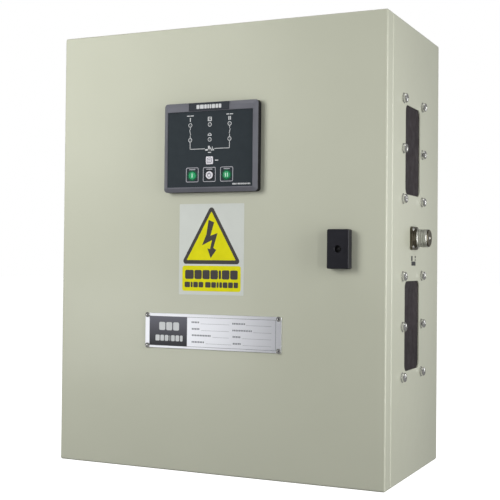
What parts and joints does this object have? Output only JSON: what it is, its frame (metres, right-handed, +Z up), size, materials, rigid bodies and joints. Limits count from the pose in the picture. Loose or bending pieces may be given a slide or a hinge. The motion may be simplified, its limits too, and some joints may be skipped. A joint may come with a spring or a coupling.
{
  "type": "automatic transfer switch",
  "caption": "Wall-mounted steel cabinet with a hinged door, transfer-switch controller, cam lock and side gland windows, and a motor-driven changeover switch inside.",
  "frame": {"origin": "centre of the cabinet's back face, where it meets the wall", "axes": "+Z up; -Y out of the door's front; +X to the right as seen from the front"},
  "size_m": [0.503, 0.2633, 0.6],
  "materials": {
    "painted_steel": "pebble-grey powder coat, fine orange peel, semi-matt",
    "galvanised_steel": "zinc-plated sheet, faint spangle",
    "zinc_hardware": "bright zinc-plated screws, hinges and cam",
    "brushed_plate": "fine horizontal brushing",
    "olive_metal": "olive-drab plated connector metal",
    "copper_bar": "bare copper, lightly dulled",
    "black_rubber": "matt black rubber",
    "black_plastic": "fine-grained moulded plastic",
    "grey_plastic": "mid-grey moulded plastic, slight sheen",
    "face_film": "dark printed polyester film",
    "clear_plastic": "clear moulded light guide",
    "green_key": "green key cap",
    "white_key": "white key cap",
    "circuit_board": "green solder resist",
    "label_film": "printed vinyl label",
    "light_plastic": "light grey moulded plastic",
    "black_wire": "black sleeve over a wire bundle",
    "earth_wire": "green and yellow insulation"
  },
  "bodies": {
    "cabinet": {"enclosure_body": "painted_steel", "enclosure_rim": "painted_steel", "mounting_plate": "galvanised_steel", "switch_tray": "galvanised_steel", "din_rail": "galvanised_steel", "drive_motor": "galvanised_steel", "hinge_bracket_upper": "zinc_hardware", "hinge_pin_upper": "zinc_hardware", "hinge_bracket_lower": "zinc_hardware", "hinge_pin_lower": "zinc_hardware", "gland_clamp_upper": "zinc_hardware", "gland_clamp_lower": "zinc_hardware", "socket_shell": "olive_metal", "load_bar_1": "copper_bar", "load_bar_2": "copper_bar", "load_bar_3": "copper_bar", "load_bar_4": "copper_bar", "earth_bar": "copper_bar", "gland_sheet_upper": "black_rubber", "gland_sheet_lower": "black_rubber", "socket_insert": "black_plastic", "switch_base_upper": "black_plastic", "switch_cover_upper": "black_plastic", "switch_base_lower": "black_plastic", "switch_cover_lower": "black_plastic", "drive_housing": "light_plastic", "terminal_block": "light_plastic", "control_breaker": "light_plastic", "door_harness": "black_wire", "earth_lead": "earth_wire"},
    "door": {"door_panel": "painted_steel", "door_gasket": "black_rubber", "hinge_knuckle_upper": "zinc_hardware", "hinge_knuckle_lower": "zinc_hardware", "lock_housing": "black_plastic", "lock_nut": "zinc_hardware", "nameplate": "brushed_plate", "nameplate_screw_1": "zinc_hardware", "nameplate_screw_2": "zinc_hardware", "nameplate_screw_3": "zinc_hardware", "nameplate_screw_4": "zinc_hardware", "hazard_label": "label_film", "controller_bezel": "grey_plastic", "controller_face": "face_film", "controller_light_guide": "clear_plastic", "controller_board": "circuit_board", "controller_case": "black_plastic"},
    "lock": {"lock_spindle": "zinc_hardware", "lock_cam": "zinc_hardware"},
    "key_source_1": {"key_source_1": "green_key"},
    "key_mode": {"key_mode": "white_key"},
    "key_source_2": {"key_source_2": "green_key"},
    "key_lamp_test": {"key_lamp_test": "white_key"},
    "socket_cap": {"socket_cap": "olive_metal"},
    "socket_ring": {"socket_ring": "zinc_hardware"},
    "changeover_handle": {"changeover_handle": "black_rubber"},
    "contact_shaft_upper": {"contact_shaft_upper": "galvanised_steel"},
    "contact_shaft_lower": {"contact_shaft_lower": "galvanised_steel"},
    "breaker_lever": {"breaker_lever": "black_plastic"}
  },
  "joints": [
    {"name": "door_hinge", "type": "hinge", "parent": "cabinet", "child": "door", "pos_m": [-0.232, -0.241, 0], "axis": [0, 0, -1], "range_deg": [0, 110], "deforming": ["door_harness", "earth_lead"]},
    {"name": "lock_turn", "type": "hinge", "parent": "door", "child": "lock", "pos_m": [0.18, -0.25, 0], "axis": [0, -1, 0], "range_deg": [0, 90]},
    {"name": "key_source_1_press", "type": "slide", "parent": "door", "child": "key_source_1", "axis": [0, 1, 0], "range_m": [0, 0.001], "stiffness_N_per_m": 1500, "springref_m": -0.0005},
    {"name": "key_mode_press", "type": "slide", "parent": "door", "child": "key_mode", "axis": [0, 1, 0], "range_m": [0, 0.001], "stiffness_N_per_m": 1500, "springref_m": -0.0005},
    {"name": "key_source_2_press", "type": "slide", "parent": "door", "child": "key_source_2", "axis": [0, 1, 0], "range_m": [0, 0.001], "stiffness_N_per_m": 1500, "springref_m": -0.0005},
    {"name": "key_lamp_test_press", "type": "slide", "parent": "door", "child": "key_lamp_test", "axis": [0, 1, 0], "range_m": [0, 0.001], "stiffness_N_per_m": 1500, "springref_m": -0.0005},
    {"name": "cap_slide", "type": "slide", "parent": "cabinet", "child": "socket_cap", "axis": [1, 0, 0], "range_m": [0, 0.006]},
    {"name": "ring_turn", "type": "hinge", "parent": "socket_cap", "child": "socket_ring", "pos_m": [0.24, -0.131, 0.0165], "axis": [1, 0, 0], "range_deg": [0, 1440]},
    {"name": "handle_turn", "type": "hinge", "parent": "cabinet", "child": "changeover_handle", "pos_m": [0.072, -0.13, -0.03], "axis": [0, -1, 0], "range_deg": [-45, 45]},
    {"name": "shaft_upper_turn", "type": "hinge", "parent": "cabinet", "child": "contact_shaft_upper", "pos_m": [-0.053, -0.0546, 0.02], "axis": [1, 0, 0], "range_deg": [-45, 45]},
    {"name": "shaft_lower_turn", "type": "hinge", "parent": "cabinet", "child": "contact_shaft_lower", "pos_m": [-0.053, -0.0546, -0.08], "axis": [1, 0, 0], "range_deg": [-45, 45]},
    {"name": "lever_turn", "type": "hinge", "parent": "cabinet", "child": "breaker_lever", "pos_m": [0.025, -0.0811, 0.205], "axis": [-1, 0, 0], "range_deg": [0, 50]}
  ],
  "couplings": [
    {"joint": "cap_slide", "follows": "ring_turn", "m_per_rad": 0.0002387},
    {"joint": "shaft_upper_turn", "follows": "handle_turn", "ratio": 1},
    {"joint": "shaft_lower_turn", "follows": "handle_turn", "ratio": 1}
  ]
}
